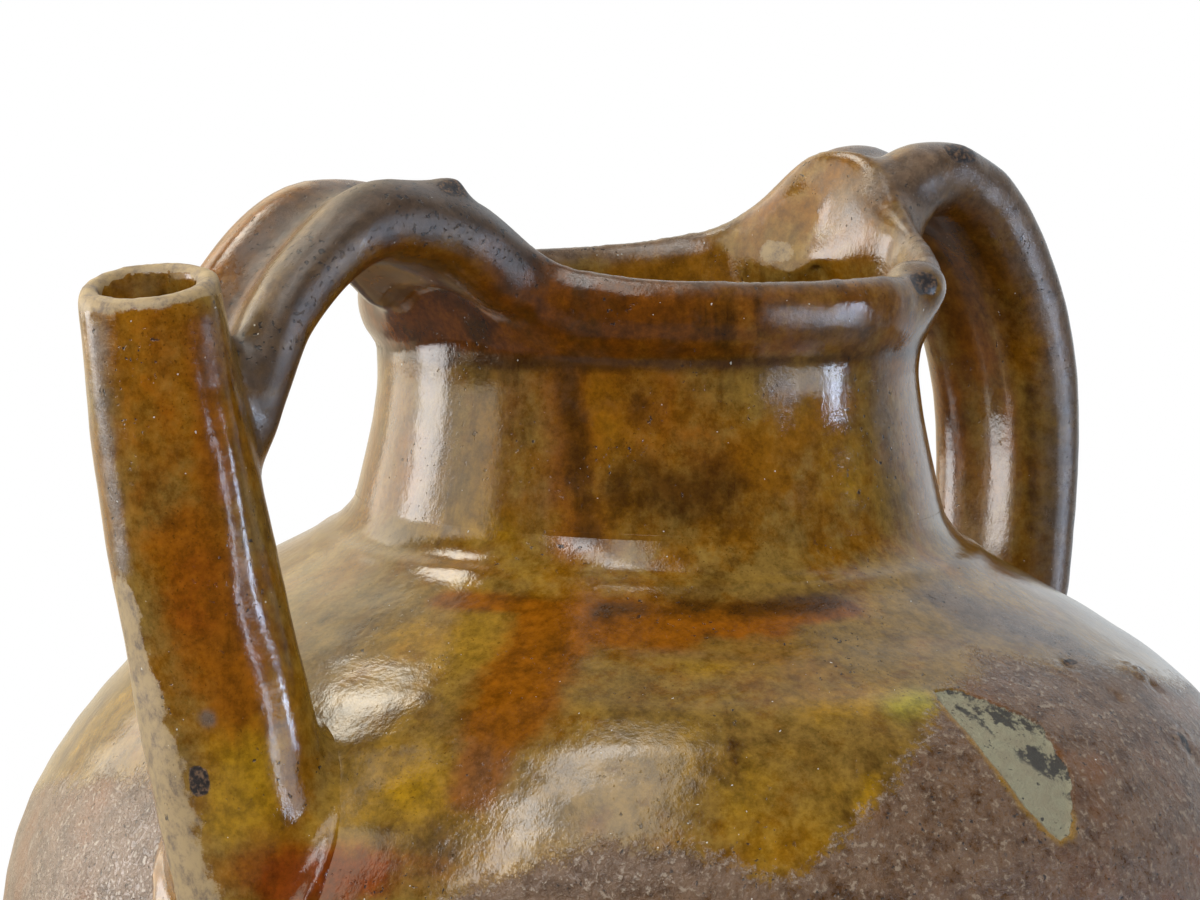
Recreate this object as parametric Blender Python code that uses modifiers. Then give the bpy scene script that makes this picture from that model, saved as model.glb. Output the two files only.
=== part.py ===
"""Glazed terracotta water pitcher, built from the five clay pieces that a potter lutes together.

A thrown belly carries a thrown neck whose rim is pulled up into a saddle at the two handles.
A tubular spout stands on the shoulder towards -X. A strap handle bridges it to the rim, and a
second strap handle runs from the rim to the shoulder towards +X. Metres, +Z up, foot at Z = 0.
"""

import math

import bmesh
import bpy
from mathutils import Vector
from mathutils.geometry import interpolate_bezier

# Joints between clay pieces
SEAM = 0.0003

# Belly: flat foot, wide belly and a flattened shoulder
FOOT_RADIUS = 0.072
FOOT_EDGE = 0.003
BELLY_RADIUS = 0.145
BELLY_HEIGHT = 0.118
SHOULDER_RISE = 0.0989
WALL = 0.007
FLOOR = 0.010
FLARE_ANGLE = math.radians(46)

# Neck: foot ring on the shoulder, waist, rolled collar and rim
NECK_WAIST_RADIUS = 0.0607
NECK_WAIST_SHARE = 0.62
NECK_HEIGHT = 0.0632
NECK_WALL = 0.007
NECK_FOOT_FLARE = 0.0163
NECK_FOOT_BEAD = 0.0010
NECK_SEAT_WIDTH = 0.0105
COLLAR_FLARE = 0.0053
LIP_THICKNESS = 0.0086
LIP_DROP = 0.0065

# Saddle of the rim: how far it is pulled up at each handle, and how wide the pull is
REAR_RISE = 0.0250
REAR_RISE_HALF_ANGLE = math.radians(22.5)
SPOUT_RISE = 0.0195
SPOUT_RISE_HALF_ANGLE = math.radians(18.5)
RIM_LEAN = 0.12

# Spout: a tapering tube on a slightly bent axis
SPOUT_RADIUS = 0.0176
SPOUT_BORE = 0.0100
SPOUT_MOUTH_TAPER = 0.87
SPOUT_ROOT_FLARE = 1.12
SPOUT_OVERHANG = 0.0050
SPOUT_ROOT_INSET = 0.0225
SPOUT_BEND = 0.0034
SPOUT_SWAY = 0.0140

# Strap handles: two lobes with a thumb groove along the outer face
STRAP_HALF_WIDTH = 0.0205
STRAP_HALF_THICKNESS = 0.0078
STRAP_GROOVE = 0.0046
STRAP_INNER_GROOVE = 0.0015
STRAP_GROOVE_HALF_WIDTH = 0.0075
HANDLE_CREST = 0.0030
REAR_HANDLE_SETBACK = 0.0105
REAR_HANDLE_FOOT_TUCK = 0.0150

# Facets
TURN_STEPS = 56
SPOUT_ROUNDNESS = 5
STRAP_POINTS = 28
STRAP_STEPS = 6
SMOOTH_ANGLE = math.radians(40)

# Clay and glaze: base colour, roughness
HONEY_GLAZE = ((0.30, 0.150, 0.035, 1.0), 0.16)
DARK_GLAZE = ((0.24, 0.110, 0.030, 1.0), 0.18)
BARE_CLAY = ((0.17, 0.085, 0.060, 1.0), 0.60)

NECK_FOOT_RADIUS = NECK_WAIST_RADIUS + NECK_FOOT_FLARE
NECK_ROOT_RADIUS = NECK_FOOT_RADIUS - 1.5 * NECK_FOOT_BEAD
MOUTH_SEAT_RADIUS = NECK_FOOT_RADIUS - NECK_SEAT_WIDTH
COLLAR_RADIUS = NECK_WAIST_RADIUS + COLLAR_FLARE
NECK_SEAT_HEIGHT = BELLY_HEIGHT + SHOULDER_RISE * math.sqrt(
    1 - (NECK_FOOT_RADIUS / BELLY_RADIUS) ** 2
)
NECK_BASE = NECK_SEAT_HEIGHT + SEAM
NECK_ROOT_HEIGHT = NECK_BASE + 3.4 * NECK_FOOT_BEAD
NECK_WAIST_HEIGHT = NECK_BASE + NECK_WAIST_SHARE * NECK_HEIGHT
RIM_HEIGHT = NECK_BASE + NECK_HEIGHT
SPOUT_MOUTH_DISTANCE = BELLY_RADIUS + SPOUT_OVERHANG
REAR_HANDLE_REACH = BELLY_RADIUS - REAR_HANDLE_SETBACK


# Scene helpers


def clear_scene():
    for obj in list(bpy.data.objects):
        bpy.data.objects.remove(obj)


def new_collection(name):
    collection = bpy.data.collections.new(name)
    bpy.context.scene.collection.children.link(collection)
    return collection


def fired_surface(name, look):
    colour, roughness = look
    material = bpy.data.materials.new(name)
    material.use_nodes = True
    shader = material.node_tree.nodes["Principled BSDF"]
    shader.inputs["Base Color"].default_value = colour
    shader.inputs["Roughness"].default_value = roughness
    shader.inputs["Metallic"].default_value = 0.0
    return material


def evaluated_mesh(obj):
    """A closed mesh of the object as its modifiers and bevels leave it, in world space."""
    bpy.context.view_layer.update()
    graph = bpy.context.evaluated_depsgraph_get()
    mesh = bpy.data.meshes.new_from_object(obj.evaluated_get(graph))
    mesh.transform(obj.matrix_world)
    shell = bmesh.new()
    shell.from_mesh(mesh)
    bmesh.ops.remove_doubles(shell, verts=shell.verts, dist=1e-5)
    bmesh.ops.recalc_face_normals(shell, faces=shell.faces)
    shell.to_mesh(mesh)
    shell.free()
    return mesh


def made_solid(obj, name, collection):
    """Replaces a curve or a modifier stack by a plain mesh object of the same shape."""
    mesh = evaluated_mesh(obj)
    bpy.data.objects.remove(obj)
    solid = bpy.data.objects.new(name, mesh)
    collection.objects.link(solid)
    return solid


def as_cutter(obj):
    obj.hide_render = True
    obj.display_type = "WIRE"
    return obj


def grown(obj, name, gap, collection):
    """A cutter one seam larger than a piece, so that its neighbour ends just clear of it."""
    cutter = bpy.data.objects.new(name, obj.data.copy())
    collection.objects.link(cutter)
    swell = cutter.modifiers.new("seam", "DISPLACE")
    swell.strength = gap
    swell.mid_level = 0.0
    return as_cutter(cutter)


def cut(obj, cutter):
    boolean = obj.modifiers.new("cut_" + cutter.name, "BOOLEAN")
    boolean.operation = "DIFFERENCE"
    boolean.object = cutter


def finish(obj, material):
    obj.data.materials.clear()
    obj.data.materials.append(material)
    obj.data.shade_smooth()
    obj.data.set_sharp_from_angle(angle=SMOOTH_ANGLE)


# Turned pieces


def bezier(start, start_pull, end_pull, end, count):
    """Points on a profile curve, each (radius, height); the last point is left to the next curve."""
    points = interpolate_bezier(
        Vector((*start, 0)), Vector((*start_pull, 0)), Vector((*end_pull, 0)), Vector((*end, 0)), count + 1
    )
    return [(p.x, p.y) for p in points[:-1]]


def turned(name, profile, collection):
    """A profile of (radius, height) points turned about Z. Its outer side runs from top to bottom."""
    mesh = bpy.data.meshes.new(name)
    outline = bmesh.new()
    corners = [outline.verts.new((radius, 0, height)) for radius, height in profile]
    for first, second in zip(corners, corners[1:]):
        outline.edges.new((first, second))
    outline.to_mesh(mesh)
    outline.free()
    obj = bpy.data.objects.new(name, mesh)
    collection.objects.link(obj)
    screw = obj.modifiers.new("turn", "SCREW")
    screw.steps = screw.render_steps = TURN_STEPS
    screw.use_merge_vertices = True
    screw.merge_threshold = 1e-5
    return obj


def shoulder_height(radius, offset=0.0):
    """Height of the shoulder's ellipse at a radius, on the skin or a given distance outside it."""
    share = radius / (BELLY_RADIUS + offset)
    return BELLY_HEIGHT + (SHOULDER_RISE + offset) * math.sqrt(1 - share**2)


def shoulder_arc(top_radius, offset, count):
    """Points down the shoulder from a radius to the widest ring, which is left out."""
    reach = BELLY_RADIUS + offset
    start = math.asin(top_radius / reach)
    points = []
    for step in range(count):
        angle = start + (math.pi / 2 - start) * step / count
        points.append((reach * math.sin(angle), BELLY_HEIGHT + (SHOULDER_RISE + offset) * math.cos(angle)))
    return points


def lower_wall(offset, end_height, count):
    """Points from the widest ring down to the foot, on the skin or a distance outside it."""
    top = (BELLY_RADIUS + offset, BELLY_HEIGHT)
    foot = (FOOT_RADIUS + offset, end_height)
    drop = BELLY_HEIGHT - end_height
    lift = 0.30 * drop
    foot_pull = (foot[0] + lift / math.tan(FLARE_ANGLE), foot[1] + lift)
    belly_pull = (top[0], top[1] - 0.36 * drop)
    return bezier(top, belly_pull, foot_pull, foot, count)


def belly_outside(offset):
    """Outer profile from the neck's seat down to the middle of the foot."""
    top = (NECK_FOOT_RADIUS, shoulder_height(NECK_FOOT_RADIUS, offset))
    points = [top] + shoulder_arc(NECK_FOOT_RADIUS, offset, 9)[1:]
    points += lower_wall(offset, FOOT_EDGE, 9)
    foot = FOOT_RADIUS + offset
    return points + [(foot, FOOT_EDGE), (foot - FOOT_EDGE, -offset), (0, -offset)]


def make_belly(collection):
    inside = shoulder_arc(MOUTH_SEAT_RADIUS, -WALL, 7)
    inside += lower_wall(-WALL, FLOOR, 8)
    inside += [(FOOT_RADIUS - WALL, FLOOR), (0, FLOOR)]
    seat = [(MOUTH_SEAT_RADIUS, NECK_SEAT_HEIGHT)]
    belly = turned("belly", inside[::-1] + seat + belly_outside(0.0), collection)
    return made_solid(belly, "belly", collection)


def make_belly_envelope(collection):
    """The belly's outer form as a full solid, one seam larger, that trims what stands on it."""
    profile = [(0, NECK_SEAT_HEIGHT + SEAM)] + belly_outside(SEAM)
    envelope = turned("belly_envelope", profile, collection)
    return as_cutter(made_solid(envelope, "belly_envelope", collection))


def rim_rise(angle):
    """How far the rim is pulled up at an angle about Z, measured from +X."""
    rear = abs(math.atan2(math.sin(angle), math.cos(angle)))
    spout = math.pi - rear
    rear_rise = REAR_RISE / (1 + (rear / REAR_RISE_HALF_ANGLE) ** 3)
    spout_rise = SPOUT_RISE / (1 + (spout / SPOUT_RISE_HALF_ANGLE) ** 3)
    return rear_rise + spout_rise


def neck_outside():
    """Outer profile from the lip's outer side down to the seat."""
    waist = (NECK_WAIST_RADIUS, NECK_WAIST_HEIGHT)
    collar = (COLLAR_RADIUS, RIM_HEIGHT - LIP_DROP)
    root = (NECK_ROOT_RADIUS, NECK_ROOT_HEIGHT)
    roll = 0.5 * (collar[1] - waist[1])
    points = bezier(collar, (collar[0], collar[1] - roll), (waist[0], waist[1] + roll), waist, 6)
    sweep = 0.62 * (waist[1] - root[1])
    tuck = 0.55 * (root[0] - waist[0])
    points += bezier(waist, (waist[0], waist[1] - sweep), (root[0] - tuck, root[1] + NECK_FOOT_BEAD), root, 8)
    foot = NECK_FOOT_RADIUS
    return points + [
        root,
        (foot + 0.4 * NECK_FOOT_BEAD, NECK_BASE + 2.0 * NECK_FOOT_BEAD),
        (foot + NECK_FOOT_BEAD, NECK_BASE + NECK_FOOT_BEAD),
        (foot + 0.5 * NECK_FOOT_BEAD, NECK_BASE),
    ]


def neck_inside():
    """Inner profile from the seat up to the lip's inner side."""
    seat = (MOUTH_SEAT_RADIUS, NECK_BASE)
    waist = (NECK_WAIST_RADIUS - NECK_WALL, NECK_WAIST_HEIGHT)
    lip = (COLLAR_RADIUS - LIP_THICKNESS, RIM_HEIGHT - LIP_DROP)
    sweep = 0.6 * (waist[1] - seat[1])
    seat_pull = (waist[0] + 0.57 * NECK_WALL, seat[1] + 1.14 * NECK_WALL)
    points = bezier(seat, seat_pull, (waist[0], waist[1] - sweep), waist, 6)
    roll = 0.5 * (lip[1] - waist[1])
    return points + bezier(waist, (waist[0], waist[1] + roll), (lip[0], lip[1] - roll), lip, 4)


def lip_roll(count):
    """Points over the rounded lip, from its inner to its outer side."""
    middle = COLLAR_RADIUS - LIP_THICKNESS / 2
    points = []
    for step in range(count):
        angle = math.pi * (1 - step / count)
        points.append(
            (middle + LIP_THICKNESS / 2 * math.cos(angle), RIM_HEIGHT - LIP_DROP * (1 - math.sin(angle)))
        )
    return points


def make_neck(collection):
    outline = neck_inside() + lip_roll(6) + neck_outside()
    neck = turned("neck", outline + outline[:1], collection)
    neck = made_solid(neck, "neck", collection)
    for vertex in neck.data.vertices:
        share = max(0.0, (vertex.co.z - NECK_WAIST_HEIGHT) / (RIM_HEIGHT - NECK_WAIST_HEIGHT))
        pull = rim_rise(math.atan2(vertex.co.y, vertex.co.x)) * share**1.3
        radius = math.hypot(vertex.co.x, vertex.co.y)
        lean = 1 + RIM_LEAN * pull * share / radius
        vertex.co.x *= lean
        vertex.co.y *= lean
        vertex.co.z += pull
    return neck


# Spout


def spout_path():
    """Axis of the spout from inside the belly to its mouth, a little bowed outwards."""
    root = Vector((SPOUT_ROOT_INSET - BELLY_RADIUS, -SPOUT_SWAY, BELLY_HEIGHT))
    mouth = Vector((-SPOUT_MOUTH_DISTANCE, 0, RIM_HEIGHT))
    bow = Vector((-4 * SPOUT_BEND, 0, 0))
    return [root.lerp(mouth, t) + bow * t * (1 - t) for t in (0, 0.25, 0.5, 0.75, 1)]


def tube(name, path, radii, collection):
    """A round tube along points, with a radius at each."""
    curve = bpy.data.curves.new(name, "CURVE")
    curve.dimensions = "3D"
    curve.bevel_depth = 1.0
    curve.bevel_resolution = SPOUT_ROUNDNESS
    curve.resolution_u = 4
    curve.use_fill_caps = True
    spline = curve.splines.new("BEZIER")
    spline.bezier_points.add(len(path) - 1)
    for point, place, radius in zip(spline.bezier_points, path, radii):
        point.co = place
        point.handle_left_type = point.handle_right_type = "AUTO"
        point.radius = radius
    obj = bpy.data.objects.new(name, curve)
    collection.objects.link(obj)
    return obj


def make_spout_bore(collection):
    """The spout's bore, longer than the tube at both ends, so that it opens the belly's wall too."""
    path = spout_path()
    path[0] = path[0] + (path[0] - path[1])
    path[-1] = path[-1] + (path[-1] - path[-2])
    bore = tube("spout_bore", path, [SPOUT_BORE] * len(path), collection)
    return as_cutter(made_solid(bore, "spout_bore", collection))


def make_spout(collection):
    shares = (SPOUT_ROOT_FLARE, 1.07, 1.02, 0.97, SPOUT_MOUTH_TAPER)
    spout = tube("spout", spout_path(), [SPOUT_RADIUS * share for share in shares], collection)
    return made_solid(spout, "spout", collection)


# Strap handles


def strap_section(name, collection):
    """Cross-section of a pulled strap: X across the strap, Y towards its outer, grooved face."""
    curve = bpy.data.curves.new(name, "CURVE")
    curve.dimensions = "2D"
    curve.fill_mode = "NONE"
    spline = curve.splines.new("POLY")
    spline.points.add(STRAP_POINTS - 1)
    spline.use_cyclic_u = True
    for index, point in enumerate(spline.points):
        angle = 2 * math.pi * index / STRAP_POINTS
        across = STRAP_HALF_WIDTH * math.copysign(abs(math.cos(angle)) ** 0.8, math.cos(angle))
        rise = STRAP_HALF_THICKNESS * math.copysign(abs(math.sin(angle)) ** 0.75, math.sin(angle))
        dip = math.exp(-((across / STRAP_GROOVE_HALF_WIDTH) ** 2))
        rise -= dip * (STRAP_GROOVE if rise > 0 else -STRAP_INNER_GROOVE)
        point.co = (across, rise, 0, 1)
    section = bpy.data.objects.new(name, curve)
    collection.objects.link(section)
    return as_cutter(section)


def strap(name, path, section, collection):
    """A strap along (X, height, size) points in the plane Y = 0."""
    curve = bpy.data.curves.new(name, "CURVE")
    curve.dimensions = "3D"
    curve.twist_mode = "MINIMUM"
    curve.bevel_mode = "OBJECT"
    curve.bevel_object = section
    curve.resolution_u = STRAP_STEPS
    curve.use_fill_caps = True
    spline = curve.splines.new("BEZIER")
    spline.bezier_points.add(len(path) - 1)
    for point, (x, height, size) in zip(spline.bezier_points, path):
        point.co = (x, 0, height)
        point.handle_left_type = point.handle_right_type = "AUTO"
        point.radius = size
    obj = bpy.data.objects.new(name, curve)
    collection.objects.link(obj)
    return made_solid(obj, name, collection)


def strap_path(start, span, top, shares):
    """Points of a strap from shares of its span: way out from the neck, drop below its top, size."""
    return [(start + way * span, top - drop * abs(span), size) for way, drop, size in shares]


def make_rear_handle(section, collection):
    top = RIM_HEIGHT + REAR_RISE + HANDLE_CREST - STRAP_HALF_THICKNESS
    span = REAR_HANDLE_REACH - STRAP_HALF_THICKNESS - NECK_WAIST_RADIUS
    shares = [
        (0.045, 0.090, 0.96),
        (0.32, 0.003, 1.04),
        (0.69, 0.15, 1.02),
        (0.925, 0.51, 1.0),
        (1.0, 0.93, 0.98),
    ]
    path = strap_path(NECK_WAIST_RADIUS, span, top, shares)
    foot = REAR_HANDLE_REACH - REAR_HANDLE_FOOT_TUCK
    path.append((foot, shoulder_height(foot) - 1.3 * STRAP_HALF_THICKNESS, 0.96))
    return strap("rear_handle", path, section, collection)


def make_spout_handle(section, collection):
    top = RIM_HEIGHT + SPOUT_RISE + HANDLE_CREST - STRAP_HALF_THICKNESS
    span = SPOUT_MOUTH_DISTANCE - SPOUT_RADIUS - NECK_WAIST_RADIUS
    shares = [
        (0.042, 0.042, 0.96),
        (0.28, 0.002, 1.02),
        (0.50, 0.007, 1.0),
        (0.735, 0.112, 0.96),
        (0.945, 0.30, 0.86),
        (1.105, 0.537, 0.76),
    ]
    path = strap_path(-NECK_WAIST_RADIUS, -span, top, shares)
    return strap("spout_handle", path, section, collection)


# Assembly


def main():
    clear_scene()
    parts = new_collection("terracotta_pitcher")
    helpers = new_collection("cutters")

    belly = make_belly(parts)
    envelope = make_belly_envelope(helpers)
    neck = make_neck(parts)
    bore = make_spout_bore(helpers)
    spout = make_spout(parts)
    spout_seam = grown(spout, "spout_seam", SEAM, helpers)
    neck_seam = grown(neck, "neck_seam", SEAM, helpers)
    section = strap_section("strap_section", helpers)
    rear_handle = make_rear_handle(section, parts)
    spout_handle = make_spout_handle(section, parts)

    cut(belly, bore)
    cut(spout, bore)
    cut(spout, envelope)
    cut(rear_handle, neck_seam)
    cut(rear_handle, envelope)
    cut(spout_handle, neck_seam)
    cut(spout_handle, spout_seam)

    honey = fired_surface("honey_glaze", HONEY_GLAZE)
    dark = fired_surface("dark_glaze", DARK_GLAZE)
    bare = fired_surface("bare_clay", BARE_CLAY)
    finish(belly, bare)
    finish(neck, honey)
    finish(spout, honey)
    finish(spout_handle, dark)
    finish(rear_handle, dark)


main()
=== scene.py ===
"""Glazed terracotta water pitcher: its clay pieces, its lead glaze and a plain pale stage.

Five clay pieces are built over the solids of the frame. The neck, the spout and the two straps are
shaped apart, luted into one skin so that their joints flow into each other, and parted again.
Metres, +Z up, the spout towards -X and the rear handle towards +X.
"""

import math

import bmesh
import bpy
import numpy as np
from mathutils import Euler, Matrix, Quaternion, Vector, noise
from mathutils.bvhtree import BVHTree
from mathutils.geometry import interpolate_bezier


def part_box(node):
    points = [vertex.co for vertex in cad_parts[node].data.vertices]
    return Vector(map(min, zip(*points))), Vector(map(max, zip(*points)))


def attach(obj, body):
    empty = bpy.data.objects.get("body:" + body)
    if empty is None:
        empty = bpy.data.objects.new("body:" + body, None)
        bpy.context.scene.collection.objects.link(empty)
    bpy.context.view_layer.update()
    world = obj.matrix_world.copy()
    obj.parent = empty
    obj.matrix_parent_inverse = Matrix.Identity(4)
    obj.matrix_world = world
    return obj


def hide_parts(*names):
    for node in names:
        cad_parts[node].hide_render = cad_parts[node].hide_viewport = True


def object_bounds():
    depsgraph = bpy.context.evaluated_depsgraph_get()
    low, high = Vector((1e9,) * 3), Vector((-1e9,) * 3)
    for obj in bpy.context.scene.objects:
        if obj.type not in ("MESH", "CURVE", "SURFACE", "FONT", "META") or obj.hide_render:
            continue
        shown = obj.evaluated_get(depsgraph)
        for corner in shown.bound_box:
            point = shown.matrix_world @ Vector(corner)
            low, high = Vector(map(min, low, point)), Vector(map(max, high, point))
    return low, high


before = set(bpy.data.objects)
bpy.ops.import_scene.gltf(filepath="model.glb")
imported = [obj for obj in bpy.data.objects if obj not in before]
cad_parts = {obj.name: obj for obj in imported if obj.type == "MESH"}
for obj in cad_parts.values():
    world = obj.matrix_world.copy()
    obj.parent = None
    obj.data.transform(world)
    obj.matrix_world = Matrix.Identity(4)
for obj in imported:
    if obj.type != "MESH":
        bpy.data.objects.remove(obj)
CAD_BOX = [list(corner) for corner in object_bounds()]

bl_info = {
    "name": "Terracotta pitcher",
    "version": (1, 0, 0),
    "blender": (4, 5, 0),
    "location": "View3D > Sidebar > Pitcher",
    "description": "Builds a glazed terracotta pitcher with a spout and two strap handles",
    "category": "Add Mesh",
}

PIECES = ("belly", "neck", "spout", "spout_handle", "rear_handle")

# Small lengths of the clay (m)
FLOOR_THICKNESS = 0.010
FOOT_EDGE = 0.003
SEAT_INSET = 0.0105
SHOULDER_SWEEP = 0.0165
LIP_DROP = 0.0065
SPOUT_OVERHANG = 0.005
GROOVE_HALF_WIDTH = 0.0075
STRAP_WRAP_RADIUS = 0.064
WET_REACH = 0.0105
HANDLE_CUT = 0.0715
CUT_REACH = 0.060
UNEVENNESS = 0.0004

# How wide the rim is pulled up around each handle
REAR_PULL_NEAR = math.radians(22.5)
REAR_PULL_FAR = math.radians(19.5)
SPOUT_PULL = math.radians(18.5)

# The photo's view
CAMERA_LENS = 175.11
CAMERA_PLACE = (-0.95076, -0.88660, 0.328)
CAMERA_TILT = math.radians(90 - 4.580)
CAMERA_TURN = math.radians(-46.519)
VIEW_TURN = math.radians(47)
VIEW_BACK = Vector((math.sin(VIEW_TURN), math.cos(VIEW_TURN), 0))
VIEW_RIGHT = Vector((math.cos(VIEW_TURN), -math.sin(VIEW_TURN), 0))


def length(name, description, default):
    """A length in metres, as a property."""
    return bpy.props.FloatProperty(
        name=name, description=description, default=default, min=0.0, unit="LENGTH", precision=4
    )


def colour(name, description, default):
    """A linear colour, as a property."""
    return bpy.props.FloatVectorProperty(
        name=name, description=description, default=default, size=3, min=0.0, max=1.0, subtype="COLOR"
    )


class PitcherSizes(bpy.types.PropertyGroup):
    """Sizes of the clay pieces."""

    foot_radius: length("Foot radius", "Radius of the flat foot", 0.072)
    belly_radius: length("Belly radius", "Widest radius of the belly", round(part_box("belly")[1][0], 4))
    belly_height: length("Belly height", "Height of the widest ring", 0.118)
    seat_radius: length("Seat radius", "Radius at which the neck sits on the shoulder", 0.077)
    seat_height: length("Seat height", "Height of the neck's seat", round(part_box("belly")[1][2], 4))
    wall: length("Wall", "Thickness of the thrown wall", 0.007)
    waist_radius: length("Waist radius", "Narrowest radius of the neck", 0.0607)
    waist_height: length("Waist height", "Height of the neck's waist", 0.2413)
    rim_height: length("Rim height", "Height of the rim between the handles", 0.2653)
    collar_flare: length("Collar flare", "How far the collar stands out from the waist", 0.0053)
    lip: length("Lip", "Thickness of the rolled lip", 0.0086)
    rear_rise: length("Rear rise", "How far the rim is pulled up at the rear handle", 0.0250)
    spout_rise: length("Spout rise", "How far the rim is pulled up at the spout handle", 0.0195)
    spout_radius: length("Spout radius", "Outer radius of the spout", 0.0176)
    spout_bore: length("Spout bore", "Radius of the spout's bore", 0.0094)
    strap_half_width: length("Strap half width", "Half the width of a handle", 0.0205)
    strap_half_thickness: length("Strap half thickness", "Half the thickness of a handle", 0.0078)
    strap_groove: length("Strap groove", "Depth of the thumb groove along a handle", 0.0052)
    skin: length("Skin", "Mesh size of the luted pieces", 0.00125)


class PitcherColours(bpy.types.PropertyGroup):
    """Colours of the clay, the glaze and the stage."""

    amber: colour("Amber", "Thin glaze over the clay", (0.205, 0.082, 0.003))
    olive: colour("Olive", "Glaze that cooled duller", (0.190, 0.110, 0.021))
    ochre: colour("Ochre", "Glaze that pooled yellow", (0.310, 0.165, 0.006))
    lime: colour("Lime", "Glaze that pooled green", (0.330, 0.270, 0.020))
    # Rust: also painted shade on the undersides of the straps.
    rust_and_painted_shade: colour("Rust", "Iron that bled into the glaze", (0.200, 0.062, 0.002))
    garnet: colour("Garnet", "Glaze that pooled dark red", (0.160, 0.030, 0.002))
    # Umber: also painted shade on the undersides of the straps.
    umber_and_painted_shade: colour("Umber", "Thick dark glaze", (0.060, 0.022, 0.002))
    smoke: colour("Smoke", "Glaze that the smoke of the kiln darkened", (0.068, 0.043, 0.028))
    # Haze: dulled glaze, and also painted light on the rear strap's lit faces and a painted reflection on
    # the spout's left edge.
    haze_and_painted_light: colour("Haze", "Dulled, weathered glaze", (0.128, 0.088, 0.061))
    clay: colour("Clay", "Bare clay below the glaze", (0.166, 0.095, 0.052))
    ash: colour("Ash", "Ash that settled on the bare clay", (0.330, 0.260, 0.190))
    flake: colour("Flake", "Clay under a flake of lost glaze", (0.275, 0.258, 0.165))
    buff: colour("Buff", "Worn slip on edges", (0.370, 0.260, 0.122))
    soot: colour("Soot", "Dark scars of the kiln", (0.022, 0.018, 0.018))
    fleck: colour("Fleck", "Grains of white in the glaze", (0.70, 0.68, 0.60))
    floor: colour("Floor", "Floor and backdrop", (0.86, 0.86, 0.86))


def sizes():
    return bpy.context.scene.pitcher_sizes


def colours():
    return bpy.context.scene.pitcher_colours


# Turned forms


def bezier(start, start_pull, end_pull, end, count):
    """Points on a profile curve, each (radius, height); the last point is left to the next curve."""
    points = interpolate_bezier(
        Vector((*start, 0)), Vector((*start_pull, 0)), Vector((*end_pull, 0)), Vector((*end, 0)), count + 1
    )
    return [(p.x, p.y) for p in points[:-1]]


def turned(profile, steps, closed=False):
    """A profile of (radius, height) points spun about Z."""
    shell = bmesh.new()
    corners = [shell.verts.new((radius, 0, height)) for radius, height in profile]
    edges = [shell.edges.new(pair) for pair in zip(corners, corners[1:])]
    if closed:
        edges.append(shell.edges.new((corners[-1], corners[0])))
    bmesh.ops.spin(
        shell,
        geom=corners + edges,
        cent=(0, 0, 0),
        axis=(0, 0, 1),
        angle=2 * math.pi,
        steps=steps,
        use_merge=True,
    )
    bmesh.ops.remove_doubles(shell, verts=shell.verts, dist=1e-6)
    bmesh.ops.recalc_face_normals(shell, faces=shell.faces)
    return shell


def shoulder_rise(s):
    """Half height of the shoulder's ellipse, so that it passes through the neck's seat."""
    share = s.seat_radius / s.belly_radius
    return (s.seat_height - s.belly_height) / math.sqrt(1 - share**2)


def shoulder_arc(s, top_radius, offset, count):
    """Points down the shoulder from a radius to the widest ring, which is left out."""
    reach = s.belly_radius + offset
    rise = shoulder_rise(s) + offset
    start = math.asin(top_radius / reach)
    angles = [start + (math.pi / 2 - start) * step / count for step in range(count)]
    return [(reach * math.sin(angle), s.belly_height + rise * math.cos(angle)) for angle in angles]


def lower_wall(s, offset, end_height, count):
    """Points from the widest ring down to the foot, on the skin or a distance inside it."""
    top = (s.belly_radius + offset, s.belly_height)
    foot = (s.foot_radius + offset, end_height)
    drop = s.belly_height - end_height
    lift = 0.30 * drop
    foot_pull = (foot[0] + lift / math.tan(math.radians(46)), foot[1] + lift)
    return bezier(top, (top[0], top[1] - 0.36 * drop), foot_pull, foot, count)


def belly_depth(s, point):
    """Distance of a point outside the shoulder, roughly; negative inside the belly."""
    away = Vector((math.hypot(point.x, point.y), point.z - s.belly_height))
    share = math.hypot(away.x / s.belly_radius, away.y / shoulder_rise(s))
    return away.length * (1 - 1 / max(share, 1e-6))


def fillet(depth, radius):
    """How far a piece spreads where it meets another at a depth, as a round fillet does."""
    if depth >= radius:
        return 0.0
    share = min(1.0, 1 - depth / radius)
    return radius * (1 - math.sqrt(1 - share**2))


def belly_form(s):
    """The belly, whose shoulder sweeps up into a thin lip around the neck's root."""
    mouth = s.seat_radius - SEAT_INSET
    inside = shoulder_arc(s, mouth, -s.wall, 22)
    inside += lower_wall(s, -s.wall, FLOOR_THICKNESS, 22)
    floor_radii = (s.foot_radius - s.wall, 0.5 * s.foot_radius, 0)
    inside += [(radius, FLOOR_THICKNESS) for radius in floor_radii]
    arc = shoulder_arc(s, s.seat_radius + SEAT_INSET, 0.0, 70)
    top = arc[0]
    slope = (top[1] - arc[1][1]) / (arc[1][0] - top[0])
    top_pull = (top[0] - SHOULDER_SWEEP, top[1] + SHOULDER_SWEEP * slope)
    lip = (s.seat_radius - 0.0113, s.seat_height + 0.0118)
    lip_pull = (lip[0] + 0.0012, lip[1] - 0.0044)
    sweep = bezier(lip, lip_pull, top_pull, top, 30)
    sweep = [(r, z + ridge(r - s.seat_radius)) for r, z in sweep]
    outside = sweep + arc + lower_wall(s, 0.0, FOOT_EDGE, 52)
    outside += [(s.foot_radius, FOOT_EDGE), (s.foot_radius - 0.001, 0.0009)]
    outside += [(s.foot_radius - FOOT_EDGE, 0), (0, 0)]
    tuck = [(mouth, s.seat_height), (lip[0] - 0.0018, lip[1] - 0.0015)]
    shell = turned(inside[::-1] + tuck + outside, 288)
    settle(s, shell)
    return shell


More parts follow.
